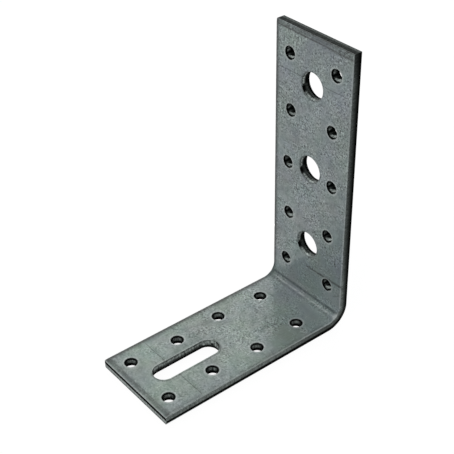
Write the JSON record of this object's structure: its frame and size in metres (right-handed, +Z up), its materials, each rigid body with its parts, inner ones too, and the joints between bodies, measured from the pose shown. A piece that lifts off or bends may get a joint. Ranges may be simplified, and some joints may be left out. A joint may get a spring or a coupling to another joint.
{
  "type": "angle bracket",
  "caption": "Flat steel strip folded to a right angle, with staggered nail holes in both legs, bolt holes in the tall leg and a slot in the foot.",
  "frame": {"origin": "midway across and along the foot, on the surface that the bracket stands on", "axes": "+X across the strip, -Y along the foot away from the fold, +Z up the tall leg"},
  "size_m": [0.04, 0.09, 0.12],
  "materials": {
    "zinc_steel": "zinc coated, dull grey with a fine mottle; cut edges darker"
  },
  "bodies": {
    "root": {"angle_bracket": "zinc_steel"}
  },
  "joints": []
}
